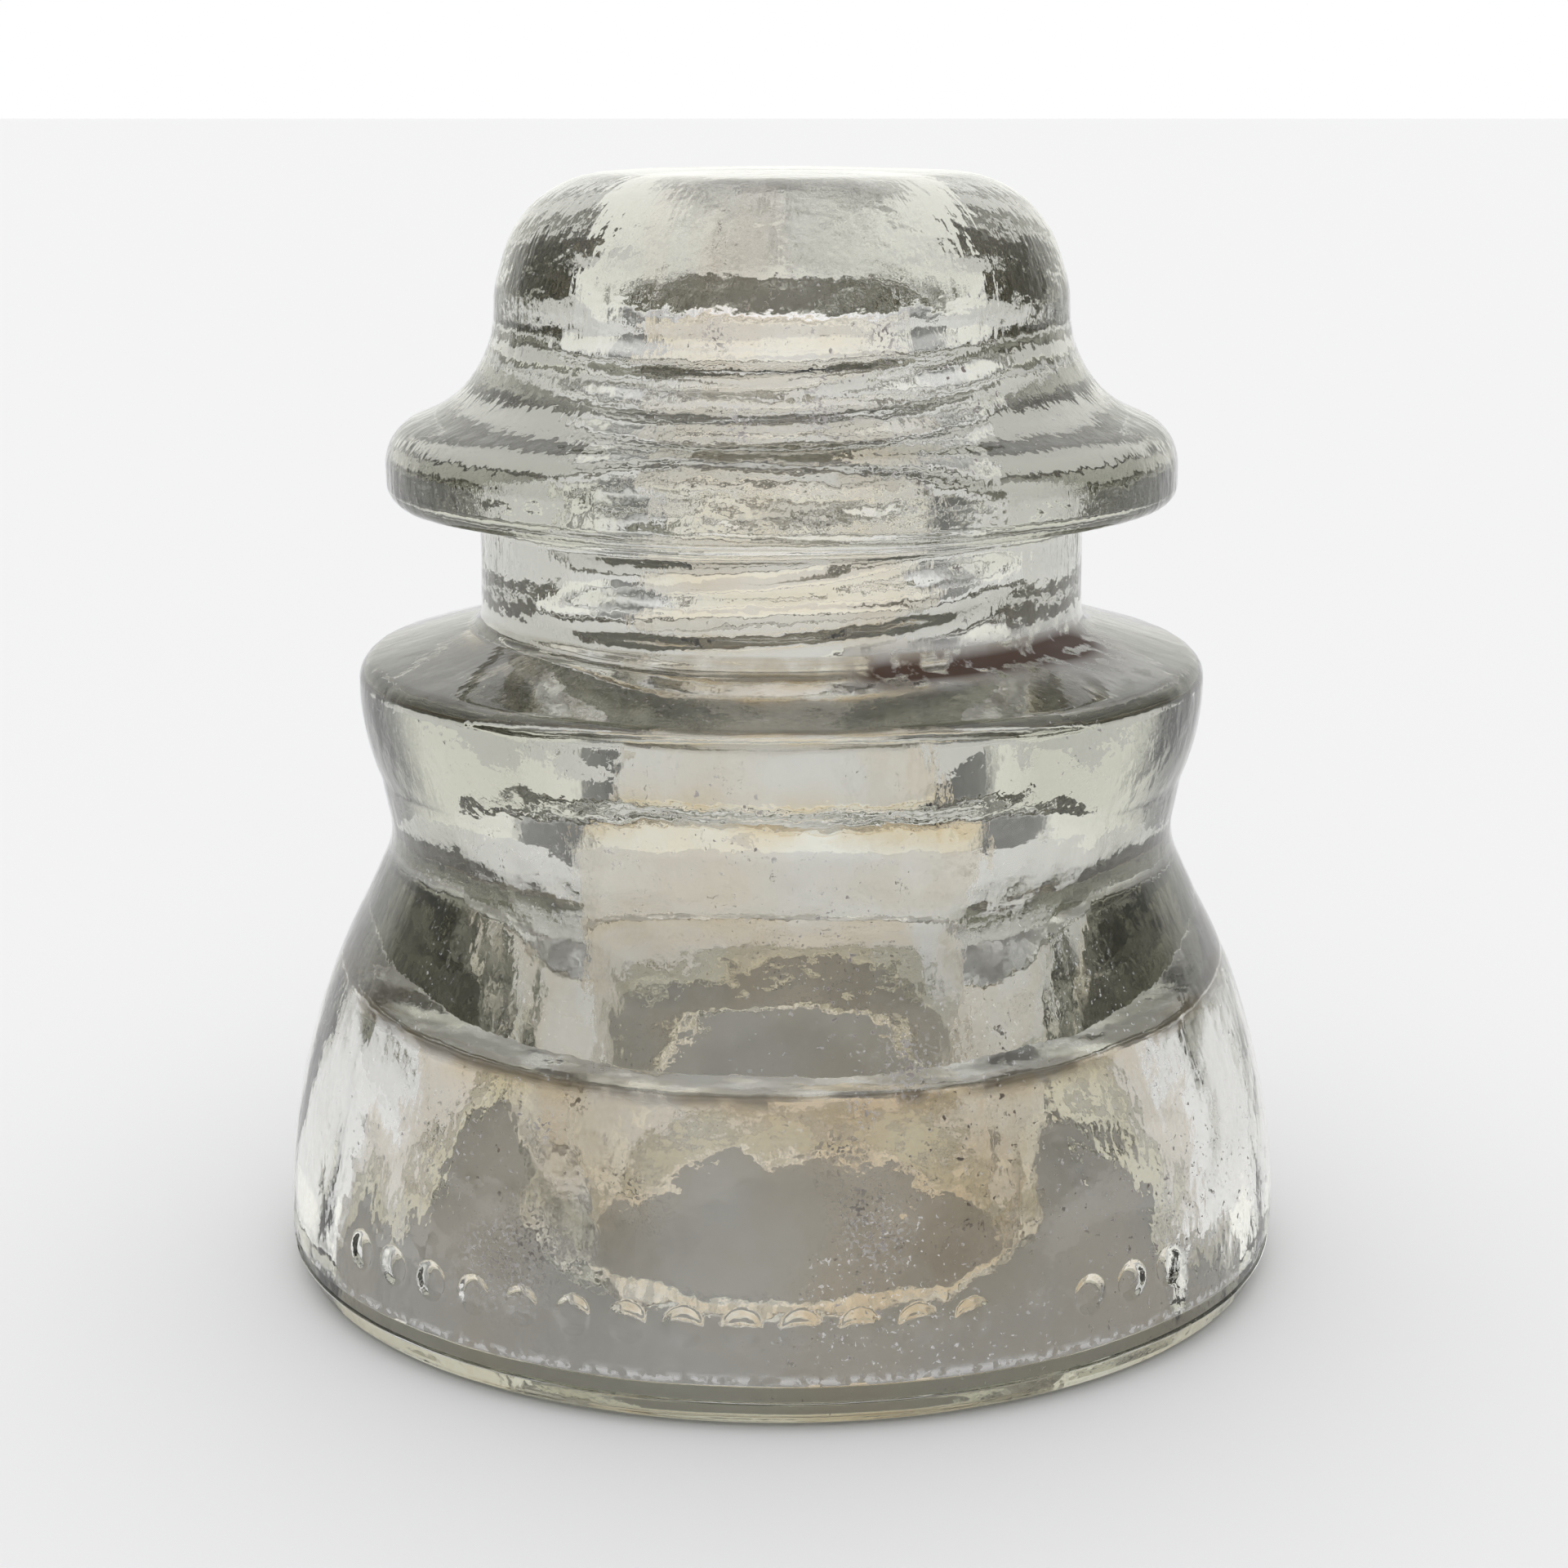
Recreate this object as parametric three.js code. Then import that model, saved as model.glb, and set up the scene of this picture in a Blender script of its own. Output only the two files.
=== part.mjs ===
// A pressed-glass pin insulator for telephone and light power lines, in millimetres, +Z up.
// It is one piece of glass: crown, saddle ring, wire groove, shoulder, bell-shaped outer skirt and,
// inside the skirt, a shorter petticoat around a pin hole with a right-hand round thread.
// The origin is the centre of the ring of flat glass that the insulator stands on.
import * as THREE from "three";

// Outside, from the foot up
const BASE_RADIUS = 41.25;
const WIDEST_HEIGHT = 3.5; // the skirt's side is upright here
const SKIRT_CURVE = 55; // radius of the bell's side, seen in section
const SKIRT_CURVE_TOP = 30;
const FOOT_RADIUS = 40.1;
const FOOT_ROUNDING = 1;
const RING_MOULD_RADIUS = 41; // where the base ring of the mould met the sides
const RING_MOULD_HEIGHT = 2.1;
const WAIST_RADIUS = 31.9; // where the skirt's slope and the shoulder's side would meet
const WAIST_HEIGHT = 35.6;
const WAIST_ROUNDING = 6;
const SHOULDER_RADIUS = 34.36;
const SHOULDER_CURVE = 20;
const SHOULDER_CURVE_LOW = 41;
const SHOULDER_WIDEST = 48.5;
const SHOULDER_EDGE_HEIGHT = 50.2;
const SHOULDER_ROUNDING = 2;
const NECK_RADIUS = 24.45; // the floor of the wire groove
const NECK_LOW = 53;
const NECK_HIGH = 62.3;
const NECK_ROUNDING = 1.5;
const RING_RADIUS = 31.85; // the lip above the wire groove
const RING_LOW = 62.8;
const RING_LOW_ROUNDING = 1.7;
const RING_HIGH = 68.6;
const RING_HIGH_ROUNDING = 4;
const CROWN_RADIUS = 23.05;
const CROWN_FOOT_HEIGHT = 71.7;
const CROWN_FLARE = 9;
const CROWN_SIDE_HEIGHT = 79.5;
const CROWN_SIDE_ROUNDING = 8;
const CROWN_EDGE_RADIUS = 20.25;
const CROWN_EDGE_HEIGHT = 88.55;
const CROWN_EDGE_ROUNDING = 9;
const TOTAL_HEIGHT = 88.8;

// Inside, from the foot up
const FOOT_INNER_RADIUS = 36.3;
const FOOT_INNER_ROUNDING = 0.9;
const GROOVE_ROOF = 22.2; // roof of the ring-shaped gap between skirt and petticoat, at the skirt
const GROOVE_OUTER_RADIUS = 31.4;
const GROOVE_OUTER_ROUNDING = 0.5;
const GROOVE_INNER_RADIUS = 24.7;
const GROOVE_INNER_ROOF = 21.3; // the roof slopes down to the petticoat
const GROOVE_INNER_ROUNDING = 0.8;
const PETTICOAT_RADIUS = 21.2;
const PETTICOAT_RIM = 2.2; // its height above the foot
const PETTICOAT_ROUNDING = 1.4;
const MOUTH_RADIUS = 17.6;
const MOUTH_ROOF_RADIUS = 17.2;
const MOUTH_ROOF = 42.6;
const MOUTH_ROOF_ROUNDING = 0.6;
const BORE_RADIUS = 13.5;
const PIN_HOLE_ROOF = 79.2;
const PIN_HOLE_ROOF_RADIUS = 6; // the flat middle of the roof
const ROOF_EDGE = 78;
const ROOF_EDGE_ROUNDING = 0.7;

// The thread of a 1 inch insulator pin: 4 turns to the inch, tapering by 1/16 inch of diameter to the inch
const INCH = 25.4;
const THREAD_PITCH = INCH / 4;
const THREAD_DEPTH = 1.3;
const THREAD_FLANK = 0.75; // the lower, the steeper the flanks and the flatter the crest and root
const THREAD_LOW = 50;
const THREAD_HIGH = 76.6;
const THREAD_CREST_RADIUS = 11.8; // at its low end
const THREAD_TAPER = 1 / 32; // radius lost for each millimetre of height
const THREAD_RUN_OUT = THREAD_PITCH / 2;
const THREAD_STEPS_PER_TURN = 6;

// Facets
const SEGMENTS = 44;
const ROUNDING_STEP = THREE.MathUtils.degToRad(26);
const SKIRT_STEPS = 5;
const SHOULDER_STEPS = 3;

const corner = (radius, height, rounding = 0) => ({ at: new THREE.Vector2(radius, height), rounding });

// The points of one rounded corner: an arc that touches the lines to the corners before and after it.
function roundedCorner(before, { at, rounding }, after) {
  if (!rounding) return [at];
  const inward = before.clone().sub(at).normalize();
  const outward = after.clone().sub(at).normalize();
  const halfAngle = Math.acos(THREE.MathUtils.clamp(inward.dot(outward), -1, 1)) / 2;
  const turn = Math.PI - 2 * halfAngle;
  const setBack = rounding / Math.tan(halfAngle);
  const start = at.clone().addScaledVector(inward, setBack);
  const centre = at
    .clone()
    .addScaledVector(inward.clone().add(outward).normalize(), rounding / Math.sin(halfAngle));
  const spoke = start.clone().sub(centre);
  const way = Math.sign(-inward.cross(outward));
  const steps = Math.max(2, Math.ceil(turn / ROUNDING_STEP));
  return Array.from({ length: steps + 1 }, (_, i) =>
    centre.clone().add(spoke.clone().rotateAround(new THREE.Vector2(), (way * turn * i) / steps)),
  );
}

function roundedOutline(corners) {
  return corners.flatMap((c, i) => {
    const before = corners[Math.max(i - 1, 0)].at;
    const after = corners[Math.min(i + 1, corners.length - 1)].at;
    return roundedCorner(before, c, after);
  });
}

// Corners along a bulging side, whose section is an arc that is upright at uprightHeight.
function bulgingSide(radius, curve, uprightHeight, low, high, steps) {
  return Array.from({ length: steps + 1 }, (_, i) => {
    const height = THREE.MathUtils.lerp(low, high, i / steps);
    const rise = height - uprightHeight;
    return corner(radius - curve + Math.sqrt(curve * curve - rise * rise), height);
  });
}

const crestRadius = (height) => THREAD_CREST_RADIUS - THREAD_TAPER * (height - THREAD_LOW);

// How far the wall of the pin hole stands back from the thread's crest.
function threadCut(height, angle) {
  const start = THREE.MathUtils.smoothstep(height, THREAD_LOW, THREAD_LOW + THREAD_RUN_OUT);
  const end = 1 - THREE.MathUtils.smoothstep(height, THREAD_HIGH - THREAD_RUN_OUT, THREAD_HIGH);
  const phase = (2 * Math.PI * height) / THREAD_PITCH - angle;
  const wave = THREE.MathUtils.smoothstep(Math.cos(phase), -THREAD_FLANK, THREAD_FLANK);
  return THREAD_DEPTH * start * end * wave;
}

function threadHeights() {
  const count = Math.round(((THREAD_HIGH - THREAD_LOW) / THREAD_PITCH) * THREAD_STEPS_PER_TURN);
  return Array.from({ length: count + 1 }, (_, i) =>
    THREE.MathUtils.lerp(THREAD_HIGH, THREAD_LOW, i / count),
  );
}

// The pin hole, from its roof down to the petticoat's rim.
function pinHoleCorners() {
  return [
    corner(0, PIN_HOLE_ROOF),
    corner(PIN_HOLE_ROOF_RADIUS, PIN_HOLE_ROOF),
    corner(crestRadius(ROOF_EDGE), ROOF_EDGE, ROOF_EDGE_ROUNDING),
    ...threadHeights().map((height) => corner(crestRadius(height), height)),
    corner(BORE_RADIUS, THREAD_LOW - 2),
    corner(BORE_RADIUS, MOUTH_ROOF, MOUTH_ROOF_ROUNDING),
    corner(MOUTH_ROOF_RADIUS, MOUTH_ROOF, MOUTH_ROOF_ROUNDING),
    corner(MOUTH_RADIUS, PETTICOAT_RIM, PETTICOAT_ROUNDING),
  ];
}

// From the petticoat's rim up around the groove's roof and down the inside of the skirt.
function grooveCorners() {
  return [
    corner(PETTICOAT_RADIUS, PETTICOAT_RIM, PETTICOAT_ROUNDING),
    corner(GROOVE_INNER_RADIUS, GROOVE_INNER_ROOF, GROOVE_INNER_ROUNDING),
    corner(GROOVE_OUTER_RADIUS, GROOVE_ROOF, GROOVE_OUTER_ROUNDING),
    corner(FOOT_INNER_RADIUS, 0, FOOT_INNER_ROUNDING),
  ];
}

// From the foot up the outside to the middle of the crown.
function outsideCorners() {
  return [
    corner(FOOT_RADIUS, 0, FOOT_ROUNDING),
    corner(RING_MOULD_RADIUS, RING_MOULD_HEIGHT),
    ...bulgingSide(BASE_RADIUS, SKIRT_CURVE, WIDEST_HEIGHT, WIDEST_HEIGHT, SKIRT_CURVE_TOP, SKIRT_STEPS),
    corner(WAIST_RADIUS, WAIST_HEIGHT, WAIST_ROUNDING),
    ...bulgingSide(
      SHOULDER_RADIUS,
      SHOULDER_CURVE,
      SHOULDER_WIDEST,
      SHOULDER_CURVE_LOW,
      SHOULDER_WIDEST,
      SHOULDER_STEPS,
    ),
    corner(SHOULDER_RADIUS, SHOULDER_EDGE_HEIGHT, SHOULDER_ROUNDING),
    corner(NECK_RADIUS, NECK_LOW, NECK_ROUNDING),
    corner(NECK_RADIUS, NECK_HIGH, NECK_ROUNDING),
    corner(RING_RADIUS, RING_LOW, RING_LOW_ROUNDING),
    corner(RING_RADIUS, RING_HIGH, RING_HIGH_ROUNDING),
    corner(CROWN_RADIUS, CROWN_FOOT_HEIGHT, CROWN_FLARE),
    corner(CROWN_RADIUS, CROWN_SIDE_HEIGHT, CROWN_SIDE_ROUNDING),
    corner(CROWN_EDGE_RADIUS, CROWN_EDGE_HEIGHT, CROWN_EDGE_ROUNDING),
    corner(0, TOTAL_HEIGHT),
  ];
}

// Moves the pin hole's wall outwards along a helix. The lathe turns about Y until it is stood up.
function cutThread(lathe) {
  const position = lathe.getAttribute("position");
  for (let i = 0; i < position.count; i++) {
    const [x, height, z] = [position.getX(i), position.getY(i), position.getZ(i)];
    const radius = Math.hypot(x, z);
    const onThread = height > THREAD_LOW && height < THREAD_HIGH && radius < INCH / 2;
    if (!onThread || radius === 0) continue;
    const stretch = 1 + threadCut(height, Math.atan2(-z, x)) / radius;
    position.setXYZ(i, x * stretch, height, z * stretch);
  }
}

function glassGeometry() {
  const outline = roundedOutline([...pinHoleCorners(), ...grooveCorners(), ...outsideCorners()]);
  const lathe = new THREE.LatheGeometry(outline, SEGMENTS);
  cutThread(lathe);
  return lathe.rotateX(Math.PI / 2);
}

const clearGlass = new THREE.MeshStandardMaterial({
  name: "clear_glass",
  color: 0xd3d4cb,
  roughness: 0.06,
  metalness: 0,
  transparent: true,
  opacity: 0.35,
});

const insulator = new THREE.Group();
const glassBody = new THREE.Mesh(glassGeometry(), clearGlass);
glassBody.name = "glass_body";
insulator.add(glassBody);

export default insulator;
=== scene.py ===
"""A clear pressed-glass pin insulator, standing on a pale floor in soft studio light. Metres, +Z up."""

import math

import bpy
import numpy as np
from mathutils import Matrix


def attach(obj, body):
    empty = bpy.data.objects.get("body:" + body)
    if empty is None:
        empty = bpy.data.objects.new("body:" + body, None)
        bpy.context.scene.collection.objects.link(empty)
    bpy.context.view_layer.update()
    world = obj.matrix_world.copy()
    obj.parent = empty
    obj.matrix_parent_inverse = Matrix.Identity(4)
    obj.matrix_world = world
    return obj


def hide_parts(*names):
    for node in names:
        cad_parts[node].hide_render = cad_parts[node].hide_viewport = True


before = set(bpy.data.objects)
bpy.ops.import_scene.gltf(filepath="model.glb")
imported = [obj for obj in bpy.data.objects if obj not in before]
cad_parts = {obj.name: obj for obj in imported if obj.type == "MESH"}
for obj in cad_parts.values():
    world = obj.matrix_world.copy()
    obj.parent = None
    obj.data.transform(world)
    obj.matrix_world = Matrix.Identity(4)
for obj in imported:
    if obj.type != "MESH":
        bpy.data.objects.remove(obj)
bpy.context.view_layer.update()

MM = 0.001
INCH = 25.4

# The body's section in millimetres, as (radius, height, rounding) corners
BASE_RADIUS = 41.25
WIDEST_HEIGHT = 3.5  # the skirt's side is upright here
RING_MOULD_RADIUS = 40.9  # the base ring, a step in from the skirt
RING_MOULD_HEIGHT = 2.1  # the fin round its middle
RING_MOULD_FIN = 0.2
SKIRT_CURVE = 55.0  # radius of the bell's side, seen in section
SKIRT_CURVE_TOP = 30.0
SKIRT_STEPS = 40
SHOULDER_RADIUS = 34.36
SHOULDER_CURVE = 20.0
SHOULDER_CURVE_LOW = 41.0
SHOULDER_WIDEST = 48.5
SHOULDER_STEPS = 12
NECK_RADIUS = 24.45
NECK_LOW = 53.0
NECK_HIGH = 62.3
RING_RADIUS = 31.85  # the saddle ring, above the neck
RING_LOW = 62.8
RING_HIGH = 68.6
CROWN_RADIUS = 23.05
CROWN_TOP = 88.8
BORE_RADIUS = 13.5
PETTICOAT_RIM = 2.2
GROOVE_ROOF = 22.2  # of the gap between petticoat and skirt
PIN_HOLE_ROOF = 79.2
ROOF_EDGE = 78.0
MOUTH_ROOF = 42.6
ROUNDING_STEP = math.radians(7)
LONGEST_STEP = 0.8
LONGEST_FOOT_STEP = 0.25
FOOT_CORNER = (38.0, 12.0)  # the finer steps are outside this radius and below this height

# The pin hole's right-hand thread, four turns to the inch
THREAD_PITCH = INCH / 4
THREAD_DEPTH = 1.3
THREAD_FLANK = 0.75  # the lower, the steeper the flanks and the flatter the crest and root
THREAD_LOW = 50.0
THREAD_HIGH = 76.6
THREAD_CREST_RADIUS = 11.8  # at its low end
THREAD_TAPER = 1 / 32  # radius lost for each millimetre of height
THREAD_RUN_OUT = THREAD_PITCH / 2

# Turns of the lathe from the front; the front is finer, for the mould marks
TURNS = np.radians([*np.arange(-56, 50, 0.3), *np.arange(50, 304, 0.75)])
SEGMENTS = len(TURNS)

# A row of plain round mould marks where there was lettering
MARK_TURNS = (*range(-52, 22, 6), 34, 40, 46)
MARK_HEIGHT = 7.8
MARK_RADIUS = 1.45
MARK_DEPTH = 0.42

# How far the outside stands in, so that its ripples stay inside the CAD's box
OUTSIDE_INSET = 0.1

# Clusters of brown specks on the outside: turn in degrees, height and spread in millimetres
GRIME = (
    (19, 77.5, 1.3),
    (-12, 77.4, 1.1),
    (-6, 71.4, 1.2),
    (6, 72.2, 1.2),
    (3, 84.5, 2.2),
    (10, 14.5, 1.8),
    (-31, 10.5, 2.6),
    (15, 26.0, 1.8),
    (-27, 21.0, 1.0),
    (9, 23.0, 0.9),
    (32, 60.0, 1.0),
)
GRIME_INNER = 22.0  # nothing nearer the axis than this has them

# A tan tint on the crown's left: turn in degrees, height and spread in millimetres
TAN_PATCH = (-13, 84.0, 5.0)

# Glass
GLASS_IOR = 1.52
ABSORPTION_DENSITY = 55
BUMP_DEPTH = 0.00009
STREAK_RADIUS = 0.032  # of the cylinder that upright streaks are drawn on
STREAK_SQUEEZE = 0.25  # the lower, the longer the streaks

# Camera
CAMERA_PLACE = (0.0, -0.2490, 0.09644)
CAMERA_TILT = math.radians(76.97)
CAMERA_LENS = 70.97
CAMERA_SHIFT = 0.0016

# Light paths: clear glass needs many
GLASS_BOUNCES = 24
GLOSSY_BOUNCES = 12

# Floor
FLOOR_REACH = 6.0
FLOOR_DROP = 0.0001  # how far it is below the foot


# ---------------------------------------------------------------- section of the glass


def bulging_side(radius, curve, upright_height, low, high, steps):
    """Corners along a side whose section is an arc that is upright at upright_height."""
    heights = np.linspace(low, high, steps + 1)
    return [(radius - curve + math.sqrt(curve**2 - (z - upright_height) ** 2), z, 0) for z in heights]


def skirt_side():
    low = WIDEST_HEIGHT + 0.5
    return bulging_side(BASE_RADIUS, SKIRT_CURVE, WIDEST_HEIGHT, low, SKIRT_CURVE_TOP, SKIRT_STEPS)


def shoulder_side():
    low, high = SHOULDER_CURVE_LOW, SHOULDER_WIDEST
    return bulging_side(SHOULDER_RADIUS, SHOULDER_CURVE, SHOULDER_WIDEST, low, high, SHOULDER_STEPS)


def crest_radius(height):
    return THREAD_CREST_RADIUS - THREAD_TAPER * (height - THREAD_LOW)


def pin_hole_corners():
    return [
        (0, PIN_HOLE_ROOF, 0),
        (6, PIN_HOLE_ROOF, 4),
        (crest_radius(ROOF_EDGE), ROOF_EDGE, 0.7),
        (crest_radius(THREAD_HIGH), THREAD_HIGH, 0),
        (crest_radius(THREAD_LOW), THREAD_LOW, 0),
        (BORE_RADIUS, THREAD_LOW - 2, 0),
        (BORE_RADIUS, MOUTH_ROOF, 0.6),
        (17.2, MOUTH_ROOF, 0.6),
        (17.6, PETTICOAT_RIM, 1.4),
    ]


def groove_corners():
    return [
        (21.2, PETTICOAT_RIM, 1.4),
        (24.7, GROOVE_ROOF - 0.9, 0.8),
        (31.4, GROOVE_ROOF, 0.5),
        (36.3, 0, 0.9),
    ]


def outside_corners():
    return [
        (40.1, 0, 1),
        (RING_MOULD_RADIUS, RING_MOULD_HEIGHT - RING_MOULD_FIN, 0.1),
        (RING_MOULD_RADIUS + RING_MOULD_FIN, RING_MOULD_HEIGHT, 0.06),
        (RING_MOULD_RADIUS, RING_MOULD_HEIGHT + RING_MOULD_FIN, 0.1),
        (RING_MOULD_RADIUS, WIDEST_HEIGHT - 0.2, 0.1),
        (BASE_RADIUS, WIDEST_HEIGHT, 0.12),
        *skirt_side(),
        (31.9, 35.6, 6),
        *shoulder_side(),
        (SHOULDER_RADIUS, 50.2, 2),
        (NECK_RADIUS, NECK_LOW, 1.5),
        (NECK_RADIUS, NECK_HIGH, 1.5),
        (RING_RADIUS, RING_LOW, 1.7),
        (RING_RADIUS, RING_HIGH, 4),
        (CROWN_RADIUS, 71.7, 9),
        (CROWN_RADIUS, 79.5, 8),
        (20.25, 88.55, 9),
        (0, CROWN_TOP, 0),
    ]


def rounded_corner(before, here, after, rounding):
    """Points of an arc that touches the lines from one corner to the corners before and after it."""
    if not rounding:
        return [here]
    inward = (before - here) / np.linalg.norm(before - here)
    outward = (after - here) / np.linalg.norm(after - here)
    half_angle = math.acos(np.clip(inward @ outward, -1, 1)) / 2
    turn = math.pi - 2 * half_angle
    middle = (inward + outward) / np.linalg.norm(inward + outward)
    centre = here + middle * rounding / math.sin(half_angle)
    spoke = here + inward * rounding / math.tan(half_angle) - centre
    way = -math.copysign(1, inward[0] * outward[1] - inward[1] * outward[0])
    steps = max(2, math.ceil(turn / ROUNDING_STEP))
    points = []
    for i in range(steps + 1):
        angle = way * turn * i / steps
        x = spoke[0] * math.cos(angle) - spoke[1] * math.sin(angle)
        y = spoke[0] * math.sin(angle) + spoke[1] * math.cos(angle)
        points.append(centre + np.array([x, y]))
    return points


def fine_outline(corners):
    """The rounded outline, with no step longer than LONGEST_STEP, or LONGEST_FOOT_STEP at the foot."""
    places = [np.array(c[:2], float) for c in corners]
    points = []
    for i, (_, _, rounding) in enumerate(corners):
        before, after = places[max(i - 1, 0)], places[min(i + 1, len(places) - 1)]
        points += rounded_corner(before, places[i], after, rounding)
    fine = [points[0]]
    for here, after in zip(points, points[1:]):
        length = np.linalg.norm(after - here)
        if length < 1e-6:
            continue
        near_foot = here[0] > FOOT_CORNER[0] and here[1] < FOOT_CORNER[1]
        longest = LONGEST_FOOT_STEP if near_foot else LONGEST_STEP
        steps = max(1, math.ceil(length / longest))
        fine += [here + (after - here) * i / steps for i in range(1, steps + 1)]
    return np.array(fine)


def smooth(low, high, x):
    t = np.clip((x - low) / (high - low), 0, 1)
    return t * t * (3 - 2 * t)


def thread_cut(height, angle):
    """How far the pin hole's wall stands back from the thread's crest, in millimetres."""
    start = smooth(THREAD_LOW, THREAD_LOW + THREAD_RUN_OUT, height)
    end = 1 - smooth(THREAD_HIGH - THREAD_RUN_OUT, THREAD_HIGH, height)
    wave = smooth(-THREAD_FLANK, THREAD_FLANK, np.cos(2 * math.pi * height / THREAD_PITCH - angle))
    return THREAD_DEPTH * start * end * wave


def ripple(points, wavelength, seed, stretch=(1, 1, 1), waves=14):
    """Smooth uneven waves through space, between about -1 and 1."""
    random = np.random.default_rng(seed)
    total = np.zeros(points.shape[:-1])
    for _ in range(waves):
        way = random.normal(size=3)
        way *= 2 * math.pi / (wavelength * random.uniform(0.7, 1.5) * np.linalg.norm(way))
        total += np.sin(points @ (way / np.array(stretch)) + random.uniform(0, 2 * math.pi))
    return total / math.sqrt(waves)


def mould_mark(points, turn, height):
    """A small round dent in the skirt: 1 at its middle, 0 at its edge."""
    angle = np.arctan2(points[..., 0], -points[..., 1])
    across = (angle - math.radians(turn)) * BASE_RADIUS
    up = points[..., 2] - height
    return np.clip(1 - (across**2 + up**2) / MARK_RADIUS**2, 0, 1)


def unevenness(place, r, z, within):
    """How far each point of the pressed glass stands out from the true section, in millimetres."""
    high = smooth(MOUTH_ROOF + 0.4, THREAD_LOW, z)
    shift = (1 - within) * (0.05 * ripple(place, 14, 1) + 0.009 * ripple(place, 3.2, 2))
    shift += within * (1 - 0.6 * high) * (0.12 * ripple(place, 11, 3) + 0.025 * ripple(place, 4, 4))
    shift += within * high * 0.045 * ripple(place, 2.8, 5, (5, 5, 1))
    marks = sum(mould_mark(place, turn, MARK_HEIGHT) for turn in MARK_TURNS)
    shift -= (1 - within) * MARK_DEPTH * np.sqrt(marks)
    calm = np.minimum(smooth(0.1, 2.0, z), smooth(0.0, 1.5, CROWN_TOP - z) * 0.6 + 0.4)
    return shift * calm * smooth(1.0, 4.0, r) - OUTSIDE_INSET * (1 - within)


def glass_points():
    """The body's vertices in millimetres, ring by ring from the pin hole's roof round to the crown's top."""
    outline = fine_outline([*pin_hole_corners(), *groove_corners(), *outside_corners()])
    along = np.gradient(outline, axis=0)
    along /= np.linalg.norm(along, axis=1)[:, None]
    foot = int(np.argmax(outline[:, 1] < 0.01))
    inside = (np.arange(len(outline)) < foot).astype(float)
    radius, height = outline[1:-1, 0], outline[1:-1, 1]
    out_r, out_z = along[1:-1, 1], -along[1:-1, 0]
    inside = inside[1:-1]
    angle = TURNS - math.pi / 2
    a = np.repeat(angle[None, :], len(radius), 0)
    r = np.repeat(radius[:, None], SEGMENTS, 1)
    z = np.repeat(height[:, None], SEGMENTS, 1)
    on_thread = (z > THREAD_LOW) & (z < THREAD_HIGH) & (r < INCH / 2)
    r = r + np.where(on_thread, thread_cut(z, a), 0)
    place = np.stack([r * np.cos(a), r * np.sin(a), z], axis=-1)
    shift = unevenness(place, r, z, inside[:, None])
    r = r + shift * out_r[:, None]
    z = np.maximum(z + shift * out_z[:, None], 0)
    rings = np.stack([r * np.cos(a), r * np.sin(a), z], axis=-1)
    return rings, outline[0], outline[-1], inside


def turn_and_radius(rings):
    """Each point's turn from the front in degrees, and its distance from the axis."""
    turn = np.degrees(np.arctan2(rings[..., 0], -rings[..., 1]))
    return turn, np.hypot(rings[..., 0], rings[..., 1])


def stain_strength(rings):
    """Reddish-brown crust left in the corner between neck and shoulder, at the front right."""
    turn, r = turn_and_radius(rings)
    z = rings[..., 2]
    corner = 1.2 * np.exp(-(((r - 25.6) / 2.0) ** 2) - ((z - 52.9) / 1.4) ** 2)
    ledge = 0.45 * np.exp(-(((r - 28.5) / 3.5) ** 2)) * (z > 50) * (z < 54) * smooth(40, 60, turn)
    reach = smooth(8, 18, turn) * (1 - smooth(60, 85, turn))
    return (corner + ledge) * reach


def ledge_film(rings):
    """Brown film on top of the shoulder: 1 in the corner below the neck, less towards the edge."""
    turn, r = turn_and_radius(rings)
    on_ledge = (rings[..., 2] > 50) * (rings[..., 2] < 54) * (r > 24)
    return on_ledge * (1 - 0.5 * smooth(24, 33, r)) * (0.35 + 0.65 * np.exp(-((turn / 42) ** 2)))


def corner_film(rings):
    """Golden film caught inside, at the edges of the mouth's roof and of the groove's roof."""
    _, r = turn_and_radius(rings)
    z = rings[..., 2]
    mouth = np.exp(-(((z - MOUTH_ROOF) / 1.2) ** 2)) * (r < 18)
    groove = np.exp(-(((z - GROOVE_ROOF + 0.6) / 1.3) ** 2)) * (r > 29) * (r < 33)
    return np.maximum(mouth, groove)


def dark_roof_mask(rings):
    """Where the roof of the groove between skirt and petticoat is patched dark brown."""
    _, r = turn_and_radius(rings)
    z = rings[..., 2]
    return smooth(20.9, 21.4, z) * (z < 23) * (r > 24.5) * (r < 31.6)


def foot_painted_shade(rings):
    """Painted shade: the base ring darkened olive-grey below the mould seam, where the foot meets the floor.
    """
    _, r = turn_and_radius(rings)
    return (1 - smooth(3.3, 3.6, rings[..., 2])) * (r > 39)


def rubbed_edges_and_rim_highlight(rings):
    """Where the glass is rubbed white: a line along the top of the base ring, and the petticoat's rim, whose
    white is partly a painted highlight where its rounded bottom catches light.
    """
    _, r = turn_and_radius(rings)
    seam = 0.6 * np.exp(-(((rings[..., 2] - 3.95) / 0.35) ** 2)) * (r > 39)
    # the petticoat's rim: partly rubbed white, partly a painted highlight where its rounded bottom catches
    # light
    rim = 0.6 * (1 - smooth(2.6, 3.6, rings[..., 2])) * (r < 23)
    return np.maximum(seam, rim)


def spot_strength(rings, spots):
    """1 at the middle of each spot, fading out over its spread."""
    turn, r = turn_and_radius(rings)
    near = [
        np.exp(-((np.radians(turn - at) * r / spread) ** 2) - ((rings[..., 2] - height) / spread) ** 2)
        for at, height, spread in spots
    ]
    return np.max(near, axis=0)


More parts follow.
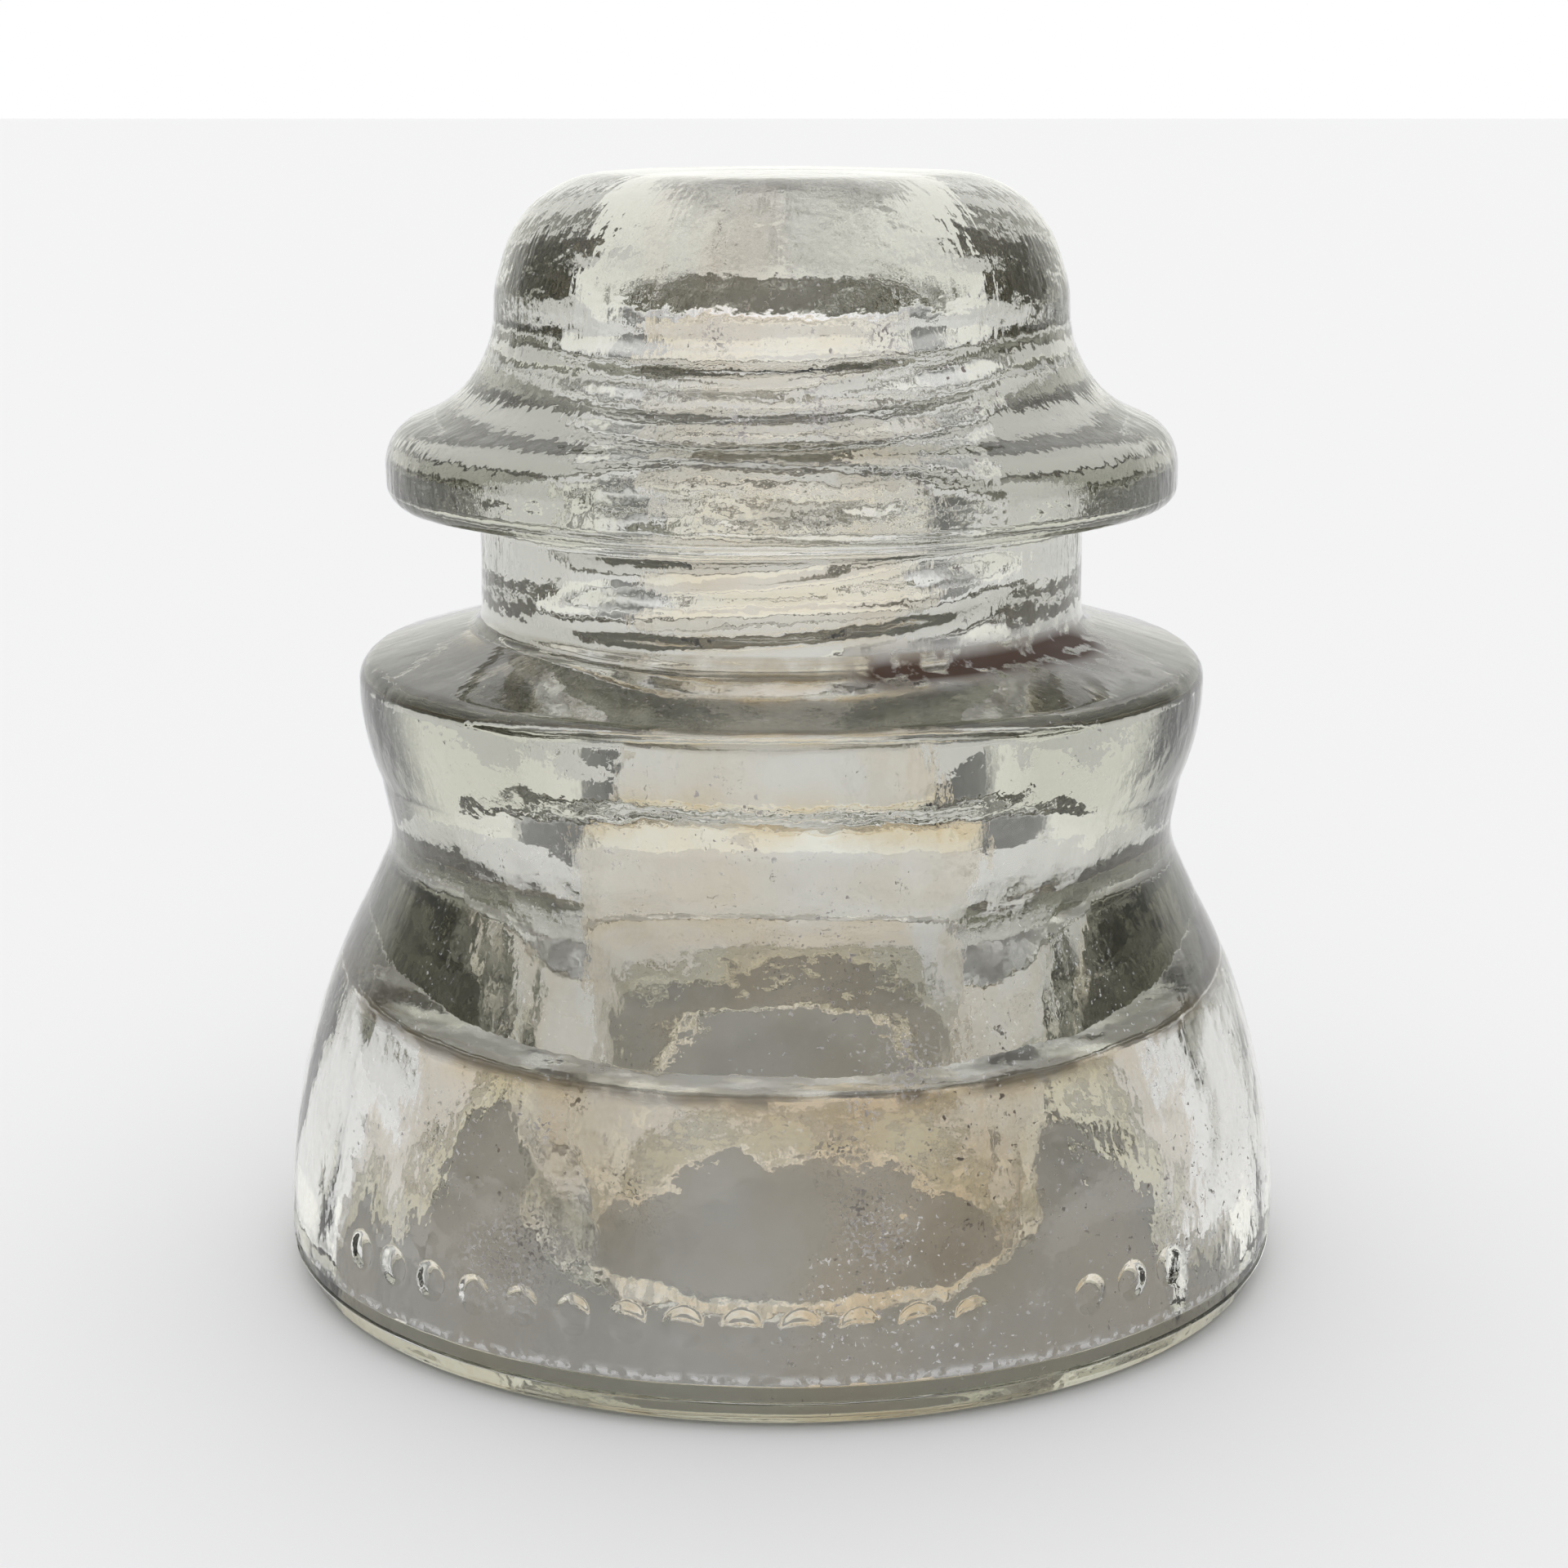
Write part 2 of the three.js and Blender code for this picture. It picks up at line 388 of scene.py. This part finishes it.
def make_glass():
    rings, first, last, inside = glass_points()
    count = len(rings)
    verts = rings.reshape(-1, 3)
    roof, top = len(verts), len(verts) + 1
    verts = np.vstack([verts, [0, 0, first[1]], [0, 0, last[1] - OUTSIDE_INSET]]) * MM
    faces = []
    for i in range(count - 1):
        a = i * SEGMENTS
        b = a + SEGMENTS
        for j in range(SEGMENTS):
            k = (j + 1) % SEGMENTS
            faces.append((a + j, a + k, b + k, b + j))
    for j in range(SEGMENTS):
        k = (j + 1) % SEGMENTS
        faces.append((roof, k, j))
        end = (count - 1) * SEGMENTS
        faces.append((top, end + j, end + k))
    mesh = bpy.data.meshes.new("glass")
    mesh.from_pydata(verts.tolist(), [], faces)
    mesh.shade_smooth()
    hollow = mesh.attributes.new("inside", "FLOAT", "POINT")
    hollow.data.foreach_set("value", [*np.repeat(inside, SEGMENTS), 1.0, 0.0])
    spots_of = {
        "stain": stain_strength(rings),
        "grime": spot_strength(rings, GRIME) * (turn_and_radius(rings)[1] > GRIME_INNER),
        "tan": spot_strength(rings, [TAN_PATCH]),
        "ledge": ledge_film(rings),
        "corner": corner_film(rings),
        "foot": foot_painted_shade(rings),
        "frost_and_rim_highlight": rubbed_edges_and_rim_highlight(rings),
        "roof": dark_roof_mask(rings),
    }
    for name, strength in spots_of.items():
        spots = mesh.attributes.new(name, "FLOAT", "POINT")
        spots.data.foreach_set("value", [*strength.reshape(-1), 0.0, 0.0])
    glass = bpy.data.objects.new("pressed_glass", mesh)
    bpy.context.collection.objects.link(glass)
    return glass


# ---------------------------------------------------------------- materials


def new_material(name):
    material = bpy.data.materials.new(name)
    material.use_nodes = True
    tree = material.node_tree
    return material, tree, tree.nodes["Principled BSDF"], tree.nodes["Material Output"]


def ramp(tree, source, stops):
    """A colour ramp fed by a socket, with (place, colour) stops."""
    node = tree.nodes.new("ShaderNodeValToRGB")
    elements = node.color_ramp.elements
    for i, (place, colour) in enumerate(stops):
        element = elements[i] if i < 2 else elements.new(place)
        element.position = place
        element.color = (*colour, 1) if isinstance(colour, tuple) else (colour, colour, colour, 1)
    tree.links.new(source, node.inputs[0])
    return node.outputs[0]


def maths(tree, operation, *values):
    node = tree.nodes.new("ShaderNodeMath")
    node.operation = operation
    for socket, value in zip(node.inputs, values):
        if isinstance(value, (int, float)):
            socket.default_value = value
        else:
            tree.links.new(value, socket)
    return node.outputs[0]


def times(tree, first, second):
    return maths(tree, "MULTIPLY", first, second)


def mix_values(tree, share, low, high):
    """low where share is 0, high where it is 1."""
    node = tree.nodes.new("ShaderNodeMapRange")
    tree.links.new(share, node.inputs["Value"])
    for name, value in (("To Min", low), ("To Max", high)):
        if isinstance(value, (int, float)):
            node.inputs[name].default_value = value
        else:
            tree.links.new(value, node.inputs[name])
    return node.outputs[0]


def mix_colours(tree, share, low, high):
    node = tree.nodes.new("ShaderNodeMix")
    node.data_type = "RGBA"
    tree.links.new(share, node.inputs["Factor"])
    for socket, value in ((node.inputs["A"], low), (node.inputs["B"], high)):
        if isinstance(value, tuple):
            socket.default_value = (*value, 1)
        else:
            tree.links.new(value, socket)
    return node.outputs["Result"]


def cloud(tree, coords, scale, detail=3, low=0.0, high=1.0):
    """Noise with features about 1/scale metres across, spread to 0..1 between low and high."""
    node = tree.nodes.new("ShaderNodeTexNoise")
    node.inputs["Scale"].default_value = scale
    node.inputs["Detail"].default_value = detail
    tree.links.new(coords, node.inputs["Vector"])
    spread = tree.nodes.new("ShaderNodeMapRange")
    spread.interpolation_type = "SMOOTHSTEP"
    spread.inputs["From Min"].default_value = low
    spread.inputs["From Max"].default_value = high
    tree.links.new(node.outputs[0], spread.inputs["Value"])
    return spread.outputs[0]


def named_value(tree, name):
    """A value that the mesh carries at each of its points."""
    node = tree.nodes.new("ShaderNodeAttribute")
    node.attribute_name = name
    return node.outputs["Fac"]


def drawn_coords(tree, coords):
    """Coordinates on a cylinder, squeezed in height, so that noise draws out into upright streaks."""
    flat = tree.nodes.new("ShaderNodeVectorMath")
    flat.operation = "MULTIPLY"
    flat.inputs[1].default_value = (1, 1, 0)
    tree.links.new(coords, flat.inputs[0])
    way = tree.nodes.new("ShaderNodeVectorMath")
    way.operation = "NORMALIZE"
    tree.links.new(flat.outputs[0], way.inputs[0])
    low = tree.nodes.new("ShaderNodeVectorMath")
    low.operation = "MULTIPLY"
    low.inputs[1].default_value = (0, 0, STREAK_SQUEEZE)
    tree.links.new(coords, low.inputs[0])
    both = tree.nodes.new("ShaderNodeVectorMath")
    both.operation = "MULTIPLY_ADD"
    both.inputs[1].default_value = (STREAK_RADIUS, STREAK_RADIUS, 0)
    tree.links.new(way.outputs[0], both.inputs[0])
    tree.links.new(low.outputs[0], both.inputs[2])
    return both.outputs[0]


def brown_dirt(tree, coords):
    """Specks all over, the marked clusters, and the crust below the neck: 1 where it covers the glass."""
    clusters = cloud(tree, coords, 45, 3, 0.50, 0.66)
    specks = times(tree, clusters, cloud(tree, coords, 1900, 2, 0.66, 0.72))
    blots = times(tree, named_value(tree, "grime"), cloud(tree, coords, 3200, 2, 0.54, 0.60))
    crust = times(tree, named_value(tree, "stain"), cloud(tree, coords, 500, 5, 0.36, 0.50))
    dirt = maths(tree, "MAXIMUM", specks, maths(tree, "MINIMUM", blots, 0.9))
    return maths(tree, "MAXIMUM", times(tree, dirt, 0.85), maths(tree, "MINIMUM", crust, 0.97))


def white_dust_and_rim_highlight(tree, coords, inside, hazy, low_down):
    """Dust inside, rubbed edges with a painted highlight along the petticoat's rim, and fine sparkle outside
    the lower skirt.
    """
    # rubbed white edges, with the petticoat's rim partly a painted highlight
    frost_and_rim_highlight = times(tree, named_value(tree, "frost_and_rim_highlight"), cloud(tree, coords, 1500, 3, 0.42, 0.58))
    fine = cloud(tree, coords, 2600, 2, 0.64, 0.70)
    sparkle = times(tree, fine, cloud(tree, coords, 70, 3, 0.50, 0.70))
    outside = maths(tree, "SUBTRACT", 1, inside)
    sparkle = times(tree, times(tree, sparkle, outside), low_down)
    dust_and_rim_highlight = maths(tree, "MAXIMUM", times(tree, hazy, 0.05), times(tree, frost_and_rim_highlight, 0.75))
    return maths(tree, "MAXIMUM", dust_and_rim_highlight, times(tree, sparkle, 0.45))


def dark_roof_patches(tree, coords):
    """Dark brown patches on the roof of the groove inside the skirt."""
    patchy = times(tree, named_value(tree, "roof"), cloud(tree, coords, 260, 4, 0.28, 0.55))
    return times(tree, patchy, 0.75)


def glass_colour(tree, coords, inside, dark_roof, dirt):
    """Clear, with thin films of brown, tan and gold, a painted shade on the base ring, dark brown patches on
    the groove's roof, and then the dirt.
    """
    rust = times(tree, cloud(tree, coords, 60, 6, 0.40, 0.62), inside)
    ledge = times(tree, named_value(tree, "ledge"), cloud(tree, coords, 300, 4, 0.30, 0.60))
    streaks = cloud(tree, drawn_coords(tree, coords), 180, 3, 0.30, 0.62)
    tan = times(tree, named_value(tree, "tan"), streaks)
    gold = times(tree, named_value(tree, "corner"), cloud(tree, coords, 220, 4, 0.35, 0.6))
    tint = mix_colours(tree, rust, (0.985, 0.985, 0.985), (0.94, 0.86, 0.74))
    tint = mix_colours(tree, ledge, tint, (0.52, 0.45, 0.35))
    tint = mix_colours(tree, tan, tint, (0.92, 0.76, 0.66))
    tint = mix_colours(tree, gold, tint, (0.86, 0.68, 0.42))
    # painted shade on the base ring, where the foot meets the floor
    tint = mix_colours(tree, named_value(tree, "foot"), tint, (0.42, 0.42, 0.33))
    # dark brown patches on the groove's roof
    tint = mix_colours(tree, dark_roof, tint, (0.11, 0.09, 0.05))
    return mix_colours(tree, dirt, tint, (0.075, 0.034, 0.018))


def glass_roughness(tree, coords, inside, hazy, dirt):
    """Polished outside, a little duller inside, rough where there is dirt."""
    grain = cloud(tree, coords, 1100, 3, 0.35, 0.7)
    outer = mix_values(tree, grain, 0.0, 0.014)
    inner = mix_values(tree, hazy, 0.01, 0.05)
    clean = mix_values(tree, inside, outer, inner)
    return mix_values(tree, dirt, clean, 0.7)


def glass_bump(tree, coords, level):
    """Fine drawn wrinkles and orange peel, stronger towards the top."""
    wrinkles = cloud(tree, drawn_coords(tree, coords), 700, 2)
    peel = cloud(tree, coords, 420, 2)
    fine = cloud(tree, coords, 1300, 2)
    relief = maths(tree, "ADD", times(tree, wrinkles, 0.5), peel)
    relief = maths(tree, "MULTIPLY_ADD", fine, 0.2, relief)
    hammered = ramp(tree, level, [(0.52, 0.4), (0.66, 1.0)])
    bump = tree.nodes.new("ShaderNodeBump")
    bump.inputs["Strength"].default_value = 1
    bump.inputs["Distance"].default_value = BUMP_DEPTH
    tree.links.new(times(tree, relief, hammered), bump.inputs["Height"])
    return bump.outputs[0]


def glass_material():
    material, tree, shader, out = new_material("clear_glass")
    coords = tree.nodes.new("ShaderNodeTexCoord").outputs["Object"]
    up = tree.nodes.new("ShaderNodeSeparateXYZ")
    tree.links.new(coords, up.inputs[0])
    level = times(tree, up.outputs["Z"], 10)  # height in decimetres
    low_down = ramp(tree, level, [(0.34, 1.0), (0.47, 0.15)])
    inside = named_value(tree, "inside")
    hazy = times(tree, times(tree, cloud(tree, coords, 110, 5, 0.38, 0.66), inside), low_down)
    dirt = brown_dirt(tree, coords)
    dark_roof = dark_roof_patches(tree, coords)
    dust_and_rim_highlight = white_dust_and_rim_highlight(tree, coords, inside, hazy, low_down)
    cover = maths(tree, "MAXIMUM", maths(tree, "MAXIMUM", dust_and_rim_highlight, dark_roof), dirt)
    shader.inputs["IOR"].default_value = GLASS_IOR
    tree.links.new(glass_colour(tree, coords, inside, dark_roof, dirt), shader.inputs["Base Color"])
    tree.links.new(maths(tree, "SUBTRACT", 1, cover), shader.inputs["Transmission Weight"])
    tree.links.new(glass_roughness(tree, coords, inside, hazy, dirt), shader.inputs["Roughness"])
    tree.links.new(glass_bump(tree, coords, level), shader.inputs["Normal"])
    volume = tree.nodes.new("ShaderNodeVolumeAbsorption")
    volume.inputs["Color"].default_value = (0.80, 0.80, 0.76, 1)
    volume.inputs["Density"].default_value = ABSORPTION_DENSITY
    tree.links.new(volume.outputs[0], out.inputs["Volume"])
    return material


# ---------------------------------------------------------------- stage


def seen_or_lit(tree, seen, lit):
    """A plain white backdrop for the camera, and the studio's soft light for everything else."""
    path = tree.nodes.new("ShaderNodeLightPath")
    mix = tree.nodes.new("ShaderNodeMixShader")
    tree.links.new(path.outputs["Is Camera Ray"], mix.inputs[0])
    tree.links.new(lit, mix.inputs[1])
    tree.links.new(seen, mix.inputs[2])
    return mix.outputs[0]


def world_light():
    """Soft light all round: bright behind and overhead, dim at the sides, a window's light in front."""
    world = bpy.data.worlds.new("studio")
    bpy.context.scene.world = world
    world.use_nodes = True
    tree = world.node_tree
    tree.nodes.clear()
    out = tree.nodes.new("ShaderNodeOutputWorld")
    coords = tree.nodes.new("ShaderNodeTexCoord")
    split = tree.nodes.new("ShaderNodeSeparateXYZ")
    tree.links.new(coords.outputs["Generated"], split.inputs[0])
    round_about = ramp(
        tree,
        maths(tree, "MULTIPLY_ADD", split.outputs["Y"], 0.5, 0.5),
        [
            (0.06, (1.05, 1.05, 1.07)),
            (0.14, 0.16),
            (0.30, 0.07),
            (0.50, 0.14),
            (0.77, 0.33),
            (0.86, (1.12, 1.12, 1.07)),
        ],
    )
    overhead = ramp(tree, split.outputs["Z"], [(0.25, 0.0), (0.90, 1.0)])
    rise = mix_colours(tree, overhead, round_about, (1.25, 1.25, 1.3))
    seen = tree.nodes.new("ShaderNodeBackground")
    seen.inputs["Color"].default_value = (1, 1, 1, 1)
    light = tree.nodes.new("ShaderNodeBackground")
    tree.links.new(rise, light.inputs["Color"])
    tree.links.new(seen_or_lit(tree, seen.outputs[0], light.outputs[0]), out.inputs["Surface"])


def floor():
    """A plain pale floor, lit by the studio alone. From below it is see-through, to show the underside."""
    mesh = bpy.data.meshes.new("floor")
    far = FLOOR_REACH
    corners = [(-far, -far, 0), (far, -far, 0), (far, far, 0), (-far, far, 0)]
    mesh.from_pydata(corners, [], [(0, 1, 2, 3)])
    plane = bpy.data.objects.new("floor", mesh)
    bpy.context.collection.objects.link(plane)
    plane.location.z = -FLOOR_DROP
    material, tree, shader, out = new_material("pale_floor")
    shader.inputs["Base Color"].default_value = (0.93, 0.93, 0.91, 1)
    shader.inputs["Roughness"].default_value = 0.9
    shader.inputs["Specular IOR Level"].default_value = 0.1
    under = tree.nodes.new("ShaderNodeBsdfTransparent")
    side = tree.nodes.new("ShaderNodeNewGeometry")
    mix = tree.nodes.new("ShaderNodeMixShader")
    tree.links.new(side.outputs["Backfacing"], mix.inputs[0])
    tree.links.new(shader.outputs[0], mix.inputs[1])
    tree.links.new(under.outputs[0], mix.inputs[2])
    tree.links.new(mix.outputs[0], out.inputs["Surface"])
    mesh.materials.append(material)


def camera():
    data = bpy.data.cameras.new("camera")
    data.lens = CAMERA_LENS
    data.sensor_width = 36
    data.shift_x = CAMERA_SHIFT
    data.clip_start = 0.01
    cam = bpy.data.objects.new("camera", data)
    bpy.context.collection.objects.link(cam)
    cam.location = CAMERA_PLACE
    cam.rotation_euler = (CAMERA_TILT, 0, 0)
    bpy.context.scene.camera = cam


def render_settings():
    scene = bpy.context.scene
    scene.view_settings.view_transform = "Standard"
    scene.cycles.max_bounces = GLASS_BOUNCES
    scene.cycles.transmission_bounces = GLASS_BOUNCES
    scene.cycles.glossy_bounces = GLOSSY_BOUNCES


glass = make_glass()
glass.data.materials.append(glass_material())
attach(glass, "root")
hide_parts("glass_body")
world_light()
floor()
camera()
render_settings()
